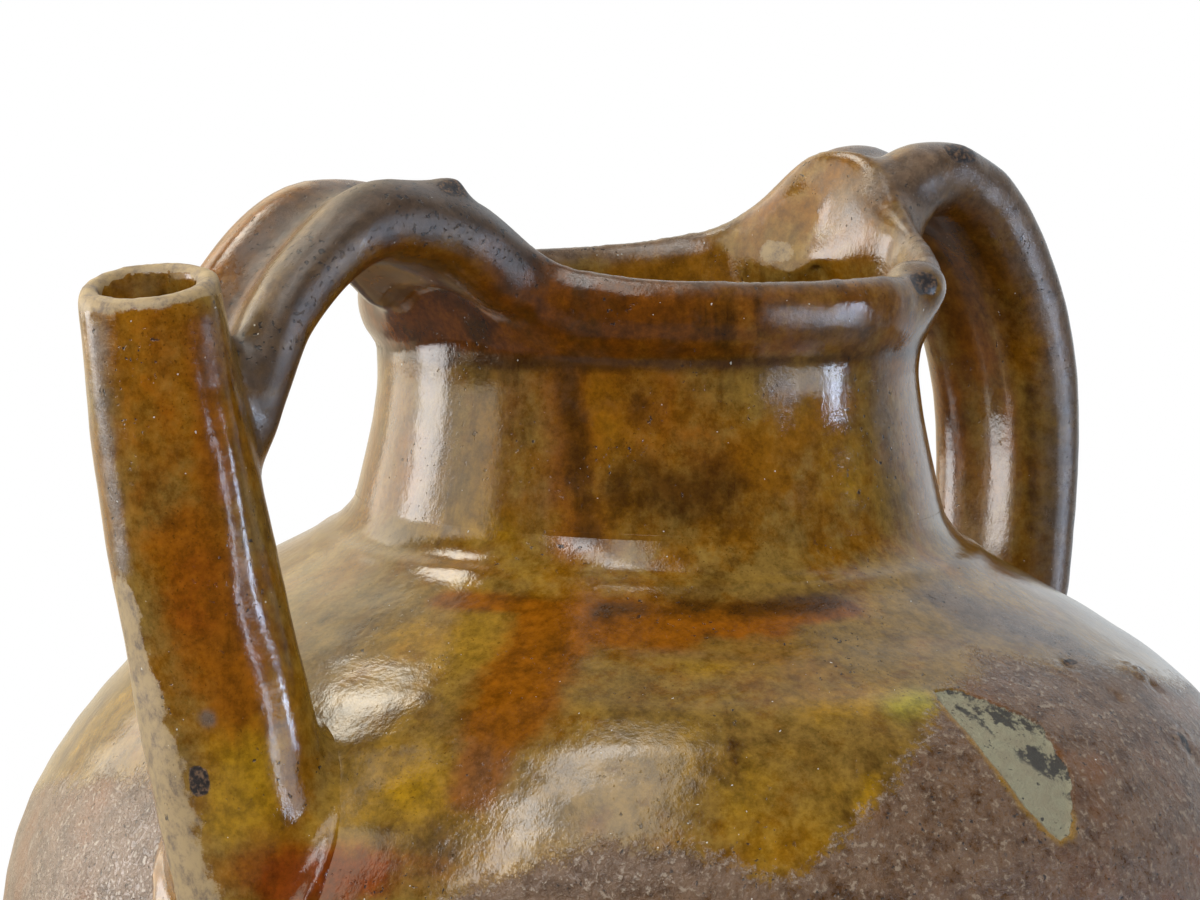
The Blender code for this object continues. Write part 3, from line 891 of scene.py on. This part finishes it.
# Strokes of the glaze and marks of the kiln, with one painted reflection: from, to, half width (mm) and
# strength
STROKES = {
    "umber_and_painted_shade": [
        ((-55, -27, 243), (-55, -34, 210), 4.0, 0.80),
        ((-50, -40, 219), (-36, -53, 220), 8.5, 0.75),
        ((-45, -40, 236), (-45, -40, 243), 5.0, 0.50),
        ((-66, -48, 197), (-42, -68, 196), 3.6, 0.65),
        ((-42, -68, 196), (-22, -76, 197), 3.6, 0.90),
        ((-76, -26, 198), (-60, -52, 198), 1.8, 0.35),
        ((-68, -86, 181), (-79, -99, 167), 1.5, 0.50),
        ((-150, -19, 212), (-151, -17, 262), 2.5, 0.40),
        ((-160, -12, 222), (-161, -11, 240), 4.5, 0.35),
        ((-95, -17, 266), (-73, -19, 271), 3.0, 0.60),
        ((117, 11, 240), (117, 11, 208), 2.2, 0.50),
        ((117, -14, 232), (118, -14, 195), 2.0, 0.60),
        ((100, 4, 266), (110, -6, 262), 4.0, 0.80),
        ((107, -12, 260), (109, -12, 248), 5.0, 0.50),
        ((53, -30, 271), (53, -30, 271), 3.0, 0.90),
    ],
    "rust_and_painted_shade": [
        ((-81, -16, 198), (-72, -40, 196), 3.4, 1.20),
        ((-75, -42, 194), (-59, -61, 194), 8.0, 1.50),
        ((-59, -61, 194), (-41, -73, 195), 5.5, 1.35),
        ((-41, -73, 195), (-22, -78, 196), 3.2, 1.20),
        ((-75, -44, 194), (-101, -54, 177), 8.5, 1.50),
        ((-101, -54, 177), (-114, -58, 164), 6.0, 1.10),
        ((-55, -27, 243), (-57, -32, 211), 7.0, 0.75),
        ((-60, -12, 240), (-60, -12, 222), 8.5, 0.35),
        ((-46, -39, 242), (-36, -50, 226), 12.0, 0.50),
        ((-161, -10, 258), (-159, -13, 224), 10.0, 0.55),
        ((-151, -18, 258), (-150, -19, 226), 5.0, 0.90),
        ((-156, -17, 216), (-147, -24, 184), 10.0, 1.00),
        ((-144, -24, 148), (-126, -42, 148), 5.0, 1.00),
        ((117, 9, 245), (117, 9, 212), 3.5, 0.90),
        ((113, 1, 255), (116, 1, 240), 9.0, 0.80),
        ((117, -8, 240), (117, -8, 218), 4.0, 0.50),
    ],
    "ochre": [
        ((-143, -26, 182), (-147, -22, 160), 8.5, 0.95),
        ((-162, -9, 260), (-160, -11, 234), 4.5, 0.40),
        ((-5, -63, 226), (-5, -63, 220), 8.0, 0.45),
        ((-61, -9, 236), (-62, -9, 216), 5.0, 0.60),
        ((-65, -18, 212), (-65, 0, 212), 5.0, 0.60),
        ((-24, -55, 239), (-16, -59, 239), 9.0, 0.30),
        ((-68, -72, 186), (-54, -84, 186), 4.0, 0.40),
        ((-54, -98, 178), (-37, -101, 180), 7.0, 0.50),
        ((-76, -97, 168), (-82, -103, 159), 8.0, 0.35),
        ((-68, -119, 152), (-55, -114, 166), 2.4, 0.80),
        ((-116, -57, 162), (-120, -45, 164), 7.5, 0.65),
        ((-95, -14, 190), (-95, -14, 190), 9.0, 0.35),
        ((55, 12, 265), (58, -1, 265), 2.2, 0.75),
        ((59, -8, 278), (59, -8, 278), 8.0, 0.40),
        ((-86, -21, 275), (-76, -22, 277), 2.0, 0.80),
        ((-109, 68, 163), (-104, 58, 174), 7.0, 0.50),
    ],
    "lime": [
        ((-31, -106, 179), (-37, -106, 178), 4.0, 0.90),
    ],
    "haze_and_painted_light": [
        ((8, -83, 195), (29, -96, 186), 10.0, 0.85),
        ((29, -96, 186), (26, -112, 176), 12.0, 0.80),
        ((-71, -62, 189), (-56, -76, 189), 3.0, 0.25),
        # Along the spout's left edge: a painted reflection, grey over dulled glaze.
        ((-164, 0, 258), (-160, -2, 210), 3.5, 0.70),
        ((-148, -17, 259), (-148, -17, 248), 4.0, 0.50),
        ((-152, -19, 179), (-152, -19, 179), 1.8, 1.10),
        ((-24, -61, 257), (2, -65, 253), 5.5, 0.50),
        ((-20, -57, 242), (-20, -57, 242), 6.0, 0.50),
        ((10, -60, 248), (10, -60, 226), 6.0, 0.45),
        ((57, -13, 279), (77, -20, 280), 11.0, 0.65),
    ],
    "garnet": [
        ((-140, -28, 145), (-112, -64, 147), 6.5, 1.00),
        ((-153, -18, 208), (-153, -18, 202), 8.0, 0.40),
        ((-67, -10, 258), (-65, -20, 258), 5.0, 0.50),
    ],
    "buff": [
        ((-157, -1, 203), (-155, -3, 183), 6.0, 0.90),
        ((-155, -3, 183), (-147, -10, 136), 8.5, 1.00),
        ((-158, -13, 228), (-158, -13, 228), 2.0, 0.60),
        ((53, 13, 266), (55, 7, 266), 3.5, 0.80),
    ],
    "scar": [
        ((-151, -16, 167), (-151, -16, 165), 2.4, 1.20),
        ((-80, -17, 285), (-76, -17, 285), 2.8, 1.00),
        ((83, -19, 289), (87, -19, 289), 3.2, 1.00),
        ((21, -62, 263), (24, -62, 263), 3.4, 1.10),
        ((22, -102, 182), (24, -102, 182), 1.6, 1.00),
        ((39, -121, 167), (39, -121, 163), 1.8, 1.00),
        ((48, -102, 179), (48, -102, 179), 1.8, 0.90),
        ((38, -107, 177), (38, -107, 177), 1.4, 0.80),
        ((44, -106, 179), (46, -108, 177), 1.6, 0.90),
        ((30, -118, 170), (30, -118, 170), 1.2, 0.80),
        ((12, -108, 182), (14, -107, 182), 1.1, 0.80),
    ],
}

# What the marks of single pieces are on the pieces that lack them
UNMARKED = {"bare": -20.0, "chip": -6.0, "vein": 0.0, "smoke": 0.0}

# Height of the glaze's lower edge (mm) at angles about Z (degrees)
GLAZE_EDGE = [
    (-180, 146), (-170, 138), (-160, 136), (-150, 148), (-141, 156), (-134, 153), (-124, 147),
    (-120, 156), (-112, 169), (-104, 179), (-92, 186), (-66, 178), (-30, 165), (10, 151),
    (35, 158), (85, 146), (110, 154), (135, 148), (168, 161), (175, 158), (180, 146),
]

# A flake of lost glaze on the shoulder: its middle (m), and its outline across and up (mm)
FLAKE_MIDDLE = Vector((-0.0223, -0.1230, 0.1676))
FLAKE_DEPTH = 0.0009
FLAKE_OUTLINE = [
    (-6, 21), (-1, 21), (4, 17), (14, 9), (14, 2), (15, -4), (12, -11),
    (8, -18), (5, -19), (3, -17), (-1, -11), (-5, 2), (-7, 13), (-7, 18),
]

# Lumps and dents of the kiln on the shoulder: place (m), reach (m), height (m)
LUMPS_MIDDLE = Vector((0.030, -0.113, 0.175))
LUMPS = [
    ((0.0180, -0.1070, 0.1828), 0.0042, 0.0007), ((0.0205, -0.1045, 0.1835), 0.0022, -0.0012),
    ((0.0440, -0.1050, 0.1798), 0.0046, 0.0008), ((0.0470, -0.1075, 0.1770), 0.0026, -0.0013),
    ((0.0395, -0.1215, 0.1645), 0.0050, 0.0006), ((0.0405, -0.1230, 0.1630), 0.0030, -0.0012),
    ((0.0080, -0.1290, 0.1680), 0.0030, -0.0008), ((0.0250, -0.1130, 0.1760), 0.0030, -0.0007),
]


def flake_depth(s, points):
    """Distance in mm inside the flake's outline, below 0 outside it, and places across and up it."""
    x, y, z = FLAKE_MIDDLE
    steep = (s.belly_radius / shoulder_rise(s)) ** 2
    out = Vector((x, y, (z - s.belly_height) * steep)).normalized()
    across = Vector((0, 0, 1)).cross(out).normalized()
    away = (points - np.array(FLAKE_MIDDLE)) * 1000
    flat = np.stack([away @ np.array(across), away @ np.array(out.cross(across))], axis=1)
    least = np.full(len(points), 1e9)
    inside = np.zeros(len(points), dtype=bool)
    for first, second in zip(FLAKE_OUTLINE, FLAKE_OUTLINE[1:] + FLAKE_OUTLINE[:1]):
        start = np.array(first)
        step = np.array(second) - start
        share = np.clip(((flat - start) @ step) / (step @ step), 0, 1)
        least = np.minimum(least, np.linalg.norm(flat - start - share[:, None] * step, axis=1))
        crosses = (first[1] > flat[:, 1]) != (second[1] > flat[:, 1])
        rise = second[1] - first[1] if second[1] != first[1] else 1e-9
        inside ^= crosses & (flat[:, 0] < first[0] + (flat[:, 1] - first[1]) * step[0] / rise)
    depth = np.where(inside, least, -least)
    near = (np.abs(away @ np.array(out)) < 12) & (depth > -6)
    return np.where(near, depth, -6.0), flat


def refine(shell, middle, shortest, cuts):
    """Divides the faces around a middle, where their edges are longer than the shortest."""
    reach = 0.030
    near = [face for face in shell.faces if (face.calc_center_median() - middle).length < reach]
    edges = list({edge for face in near for edge in face.edges if edge.calc_length() > shortest})
    bmesh.ops.subdivide_edges(shell, edges=edges, cuts=cuts, use_grid_fill=True)


def mark_shoulder(s, shell):
    """Sinks the flake into the shoulder and raises the kiln's lumps beside it."""
    refine(shell, FLAKE_MIDDLE, 0.0, 3)
    refine(shell, LUMPS_MIDDLE, 0.0013, 2)
    shell.normal_update()
    points = np.array([vertex.co[:] for vertex in shell.verts])
    depth, _ = flake_depth(s, points)
    for vertex, sunk in zip(shell.verts, depth):
        lift = -FLAKE_DEPTH * min(max((sunk + 0.3) / 0.8, 0.0), 1.0)
        for place, reach, height in LUMPS:
            away = (vertex.co - Vector(place)).length / reach
            if away < 2.5:
                rugged = 1 + 1.2 * noise.noise(vertex.co * 520)
                lift += height * rugged * math.exp(-(away**2))
        if lift:
            vertex.co += vertex.normal * lift


def laid(points, strokes):
    """How strongly soft strokes cover each point."""
    cover = np.zeros(len(points))
    for start, end, reach, strength in strokes:
        step = np.subtract(end, start)
        away = points * 1000 - np.array(start)
        share = np.clip(away @ step / max(step @ step, 1), 0, 1)
        gap = np.linalg.norm(away - np.outer(share, step), axis=1)
        cover = np.maximum(cover, strength * np.exp(-((gap / reach) ** 2)))
    return cover


def eased(values, low, high):
    """0 below low, 1 above high, smooth between."""
    share = np.clip((values - low) / (high - low), 0, 1)
    return share * share * (3 - 2 * share)


def strap_share(s, points):
    """How far a point of the upper pieces belongs to a strap, from 0 on the neck and the spout to 1."""
    along = np.clip((points[:, 2] - s.belly_height) / (s.rim_height - s.belly_height), 0, 1)
    spout = np.array([spout_axis(s, share).x for share in along])
    past_spout = eased(points[:, 0] - spout, 0.006, 0.0190) * eased(points[:, 2], 0.195, 0.225)
    return eased(np.abs(points[:, 0]), 0.048, HANDLE_CUT) * np.where(points[:, 0] < 0, past_spout, 1.0)


def upper_fields(s, points, normals, angle, fields):
    """Smoke along the straps, rust in their grooves, painted shade in rust and umber on their undersides,
    painted light as a lighter haze on the rear strap's lit faces, and a dark collar.
    """
    strap = strap_share(s, points)
    level = normals[:, 2]
    near = np.clip(normals @ np.array((0.0, -0.62, 0.78)) + 0.15, 0, 1)
    far = np.clip(points[:, 1] / 0.012, 0, 1) * np.clip(level + 0.4, 0, 1)
    groove = np.exp(-((points[:, 1] / 0.005) ** 2)) * np.clip(level + 0.3, 0, 1)
    # Strap undersides: the rust and umber laid on them below are painted shade, partly the darker orange
    # glaze there.
    shaded_underside = np.clip(-level, 0, 1)
    spout_side = points[:, 0] < 0
    # Rear strap faces turned to the front and up get a lighter haze: painted light on its lit side, partly
    # dulled glaze.
    grey = np.clip(normals @ np.array((0.15, -0.75, 0.55)) + 0.2, 0, 1)
    fields["smoke"] = strap * np.where(spout_side, 0.95 * near * (1 - 0.85 * far), 0.0)
    fields["haze_and_painted_light"] = np.maximum(fields["haze_and_painted_light"], strap * np.where(spout_side, 0.0, 0.85 * grey))
    # Painted shade: rust and umber on the strap undersides.
    rust_and_painted_shade = strap * (0.55 * groove + 0.9 * shaded_underside + 0.9 * far)
    umber_and_painted_shade = 0.8 * strap * shaded_underside
    radius = np.hypot(points[:, 0], points[:, 1])
    facing = (normals[:, 0] * points[:, 0] + normals[:, 1] * points[:, 1]) / radius
    on_neck = 1 - eased(radius, 0.070, 0.086)
    outside = eased(facing, 0.0, 0.4) * on_neck
    left = np.clip(-np.cos(np.radians(angle)), 0, 1)
    collar = outside * eased(points[:, 2], 0.2455, 0.2500)
    below_collar = (points[:, 2] - 0.2472) / 0.0022
    crease = outside * np.exp(-(below_collar**2)) * (0.85 + 0.15 * left)
    rust_and_painted_shade = np.maximum(rust_and_painted_shade, collar * (0.35 + 0.65 * left))
    umber_and_painted_shade = np.maximum(umber_and_painted_shade, np.maximum(collar * (0.25 + 0.3 * left), 0.8 * crease))
    fields["garnet"] = np.maximum(fields["garnet"], 0.55 * collar * left)
    fields["rust_and_painted_shade"] = np.maximum(fields["rust_and_painted_shade"], rust_and_painted_shade)
    fields["umber_and_painted_shade"] = np.maximum(fields["umber_and_painted_shade"], umber_and_painted_shade)
    pull = np.array([rim_pull(s, math.radians(a)) for a in angle])
    below = (s.rim_height + pull - points[:, 2]) * 1000
    rim = np.exp(-((below / 4.0) ** 2)) * on_neck * (1 - strap)
    fields["haze_and_painted_light"] = np.maximum(fields["haze_and_painted_light"], 0.8 * rim)


def worn_lip(s, points, fields):
    """Wears the slip off the spout's lip, outside its bore."""
    mouth = spout_axis(s, 1.0)
    direction = np.array((mouth - spout_axis(s, 0.8)).normalized())
    away = points - np.array(mouth)
    below = -(away @ direction)
    bore = np.linalg.norm(away + np.outer(below, direction), axis=1) < s.spout_bore + 0.0006
    worn = np.exp(-((np.clip(below, 0, None) / 0.0034) ** 2))
    fields["buff"] = np.where(bore, 0.0, np.maximum(fields["buff"], worn))


def lay_marks(obj, node):
    """Lays the values that the glaze reads on the piece's points."""
    s = sizes()
    mesh = obj.data
    count = len(mesh.vertices)
    points = np.empty(count * 3)
    mesh.vertices.foreach_get("co", points)
    points = points.reshape(-1, 3)
    fields = {name: laid(points, strokes) for name, strokes in STROKES.items()}
    angle = np.degrees(np.arctan2(points[:, 1], points[:, 0]))
    for name, value in UNMARKED.items():
        fields[name] = np.full(count, value)
    height = points[:, 2]
    fields["cool"] = 0.02 + 0.11 * (1 - eased(height, 0.188, 0.214)) * (node == "belly")
    if node == "belly":
        angles, heights = zip(*GLAZE_EDGE)
        fields["bare"] = np.interp(angle, angles, heights) - height * 1000
        fields["chip"], flat = flake_depth(s, points)
        fields["vein"] = np.clip(0.5 + (flat[:, 0] * 0.75 + flat[:, 1] * 0.45 - 3.0) / 6.0, 0, 1)
    else:
        normals = np.empty(count * 3, dtype=np.float32)
        mesh.attributes["skin"].data.foreach_get("vector", normals)
        upper_fields(s, points, normals.reshape(-1, 3), angle, fields)
    if node == "spout":
        worn_lip(s, points, fields)
    for name, values in fields.items():
        layer = mesh.attributes.new(name, "FLOAT", "POINT")
        layer.data.foreach_set("value", np.asarray(values, dtype=np.float32))


def finished(shell, node, material):
    """Makes a shell the piece that stands for a CAD node."""
    obj = as_object(shell, node + "_clay")
    for polygon in obj.data.polygons:
        polygon.use_smooth = True
    lay_marks(obj, node)
    if "skin" in obj.data.attributes:
        layer = obj.data.attributes["skin"]
        normals = [item.vector[:] for item in layer.data]
        obj.data.normals_split_custom_set_from_vertices(normals)
        obj.data.attributes.remove(obj.data.attributes["skin"])
    obj.data.materials.append(material)
    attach(obj, "root")
    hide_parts(node)
    return obj


# Operators


class PITCHER_OT_belly(bpy.types.Operator):
    """Throw the belly with its foot and shoulder"""

    bl_idname = "pitcher.belly"
    bl_label = "Belly"

    def execute(self, context):
        s = sizes()
        shell = belly_form(s)
        unevenness(shell, 0.22)
        mark_shoulder(s, shell)
        finished(shell, "belly", glaze_material("glaze_and_bare_clay"))
        return {"FINISHED"}


class PITCHER_OT_upper_pieces(bpy.types.Operator):
    """Shape the neck, the spout and the two straps and lute them together"""

    bl_idname = "pitcher.upper_pieces"
    bl_label = "Neck, spout and handles"

    def execute(self, context):
        s = sizes()
        shells = upper_pieces(s)
        missing = [name for name in PIECES[1:] if name not in shells]
        if missing:
            raise RuntimeError("Pieces missing after parting: " + ", ".join(missing))
        honey = glaze_material("honey_glaze")
        dark = glaze_material("dark_glaze")
        for name, shell in shells.items():
            handle = name.endswith("handle")
            finished(shell, name, dark if handle else honey)
        return {"FINISHED"}


class PITCHER_OT_stage(bpy.types.Operator):
    """Lay the pale floor and set the camera, the soft lights and the white surroundings"""

    bl_idname = "pitcher.stage"
    bl_label = "Stage"

    def execute(self, context):
        make_floor()
        make_camera()
        make_world()
        make_lights()
        context.scene.view_settings.view_transform = "Standard"
        return {"FINISHED"}


def make_floor():
    """A pale matt floor that fades into the white surroundings for the camera and is dim in reflections."""
    shell = bmesh.new()
    bmesh.ops.create_circle(shell, cap_ends=True, segments=96, radius=0.64)
    bmesh.ops.translate(shell, vec=(0, 0, -0.0004), verts=shell.verts)
    floor = as_object(shell, "floor")
    p = Paint("pale_floor")
    matt = p.node("ShaderNodeBsdfDiffuse", None, {"Color": tuple(colours().floor)})
    light = p.node("ShaderNodeEmission", None, {"Color": (1, 1, 1), "Strength": 1.0})
    dim = p.node("ShaderNodeEmission", None, {"Color": (1, 1, 1), "Strength": 0.04})
    camera = p.node("ShaderNodeLightPath", output="Is Camera Ray")
    glossy = p.node("ShaderNodeLightPath", output="Is Glossy Ray")
    away = p.node("ShaderNodeVectorMath", {"operation": "LENGTH"}, {0: p.here()}, 1)
    shader = p.node("ShaderNodeMixShader", None, {0: camera * p.ramp(away, 0.30, 0.60), 1: matt, 2: light})
    shader = p.node("ShaderNodeMixShader", None, {0: 0.9 * glossy, 1: shader, 2: dim})
    p.node("ShaderNodeOutputMaterial", {"target": "ALL"}, {"Surface": shader})
    floor.data.materials.append(p.material)


def make_camera():
    """The photo's view, from the near side of the spout."""
    data = bpy.data.cameras.new("camera")
    data.lens = CAMERA_LENS
    data.sensor_width = 36.0
    camera = bpy.data.objects.new("camera", data)
    camera.location = CAMERA_PLACE
    camera.rotation_euler = Euler((CAMERA_TILT, 0, CAMERA_TURN))
    bpy.context.scene.collection.objects.link(camera)
    bpy.context.scene.camera = camera


def make_world():
    """White to the camera; in the glaze, a room that is pale behind the pitcher and dim in front of it."""
    world = bpy.data.worlds.new("surroundings")
    p = Paint(world=world)
    camera = p.node("ShaderNodeLightPath", output="Is Camera Ray")
    glossy = p.node("ShaderNodeLightPath", output="Is Glossy Ray")
    way = p.node("ShaderNodeTexCoord", output="Generated")
    behind = p.along(way, VIEW_BACK)
    room = 0.02 + 0.90 * p.ramp(behind, 0.15, 0.80)
    level = p.node("ShaderNodeMix", {"data_type": "FLOAT"}, {0: glossy, 2: 0.42, 3: room})
    level = p.node("ShaderNodeMix", {"data_type": "FLOAT"}, {0: camera, 2: level, 3: 1.0})
    side = p.along(way, VIEW_RIGHT)
    walls = p.mix(p.ramp(side, -0.3, 0.3), (1.0, 0.88, 0.66), (0.80, 0.90, 1.0))
    tint = p.mix(glossy, (1, 1, 1), walls)
    light = p.node("ShaderNodeBackground", None, {"Color": tint, "Strength": level})
    p.node("ShaderNodeOutputWorld", None, {"Surface": light})
    bpy.context.scene.world = world


# Soft lights: way right of the camera, towards it and up (m), roll (degrees), width, height (m),
# watts, tint, and whether they show in reflections (mirror), on matt surfaces (matt) or in both
LIGHTS = [
    ("pane_left", (-0.398, 0.64, 1.36), 0, 0.165, 1.50, 3.9, (1.0, 1.0, 1.0), "both"),
    ("pane_left_low", (-0.53, 1.02, 1.36), -16, 0.16, 0.80, 1.7, (0.95, 0.98, 1.0), "both"),
    ("pane_right", (-0.078, 0.64, 1.34), 0, 0.315, 1.46, 3.7, (1.0, 0.98, 0.92), "both"),
    ("skylight", (-0.63, -0.36, 1.35), 0, 0.38, 0.30, 3.0, (1.0, 0.96, 0.84), "both"),
    ("left_window", (-1.352, -0.275, 0.375), 0, 0.46, 0.85, 6.0, (0.98, 0.98, 1.0), "both"),
    ("left_wall", (-1.45, -0.65, 0.725), 0, 1.50, 1.45, 14.0, (1.0, 0.93, 0.80), "mirror"),
    ("left_curtain", (-1.30, 0.42, 0.70), 0, 0.80, 1.20, 6.0, (1.0, 0.90, 0.72), "mirror"),
    ("left_back", (-0.45, -0.97, 0.95), 0, 0.70, 0.60, 1.2, (1.0, 0.88, 0.62), "mirror"),
    ("right_back", (0.80, -1.15, 0.30), 0, 0.90, 0.40, 0.28, (1.0, 0.97, 0.88), "mirror"),
    ("right_window", (1.08, 0.39, 0.05), 0, 0.52, 0.40, 1.6, (0.70, 0.82, 1.0), "mirror"),
    ("right_frame_near", (0.984, 0.653, 0.105), 0, 0.03, 0.51, 1.1, (0.70, 0.82, 1.0), "mirror"),
    ("right_frame_far", (1.176, 0.127, 0.105), 0, 0.04, 0.51, 2.8, (0.62, 0.76, 1.0), "mirror"),
    ("matt_left", (-1.45, -0.65, 0.75), 0, 1.50, 1.40, 11.5, (1.0, 0.98, 0.94), "matt"),
    ("matt_right", (1.30, 0.60, 0.90), 0, 1.20, 1.00, 2.0, (1.0, 1.0, 1.0), "matt"),
    ("soft_fill", (-0.7, 1.3, 1.5), 0, 1.6, 1.6, 11.3, (1.0, 1.0, 1.0), "matt"),
]


def make_lights():
    """Panels of light around the pitcher, all turned towards it."""
    for name, (side, front, up), roll, width, height, watts, tint, use in LIGHTS:
        data = bpy.data.lights.new(name, "AREA")
        data.shape = "RECTANGLE"
        data.size = width
        data.size_y = height
        data.energy = watts
        data.color = tint
        light = bpy.data.objects.new(name, data)
        light.location = VIEW_RIGHT * side - VIEW_BACK * front + Vector((0, 0, up))
        aim = Vector((0, 0, 0.2)) - light.location
        turn = Quaternion(aim.normalized(), math.radians(roll))
        light.rotation_euler = (turn @ aim.to_track_quat("-Z", "Y")).to_euler()
        light.visible_camera = False
        light.visible_diffuse = use != "mirror"
        light.visible_glossy = use != "matt"
        bpy.context.scene.collection.objects.link(light)


class PITCHER_PT_panel(bpy.types.Panel):
    """Pieces of the pitcher"""

    bl_idname = "PITCHER_PT_panel"
    bl_label = "Terracotta pitcher"
    bl_space_type = "VIEW_3D"
    bl_region_type = "UI"
    bl_category = "Pitcher"

    def draw(self, context):
        for operator in OPERATORS:
            self.layout.operator(operator.bl_idname)
        for group in (sizes(), colours()):
            box = self.layout.box()
            for name in group.__annotations__:
                box.prop(group, name)


OPERATORS = (PITCHER_OT_belly, PITCHER_OT_upper_pieces, PITCHER_OT_stage)
CLASSES = (PitcherSizes, PitcherColours) + OPERATORS + (PITCHER_PT_panel,)


def register():
    for item in CLASSES:
        bpy.utils.register_class(item)
    bpy.types.Scene.pitcher_sizes = bpy.props.PointerProperty(type=PitcherSizes)
    bpy.types.Scene.pitcher_colours = bpy.props.PointerProperty(type=PitcherColours)


def unregister():
    del bpy.types.Scene.pitcher_colours
    del bpy.types.Scene.pitcher_sizes
    for item in reversed(CLASSES):
        bpy.utils.unregister_class(item)


def main():
    register()
    bpy.ops.pitcher.belly()
    bpy.ops.pitcher.upper_pieces()
    bpy.ops.pitcher.stage()


if __name__ == "__main__":
    main()
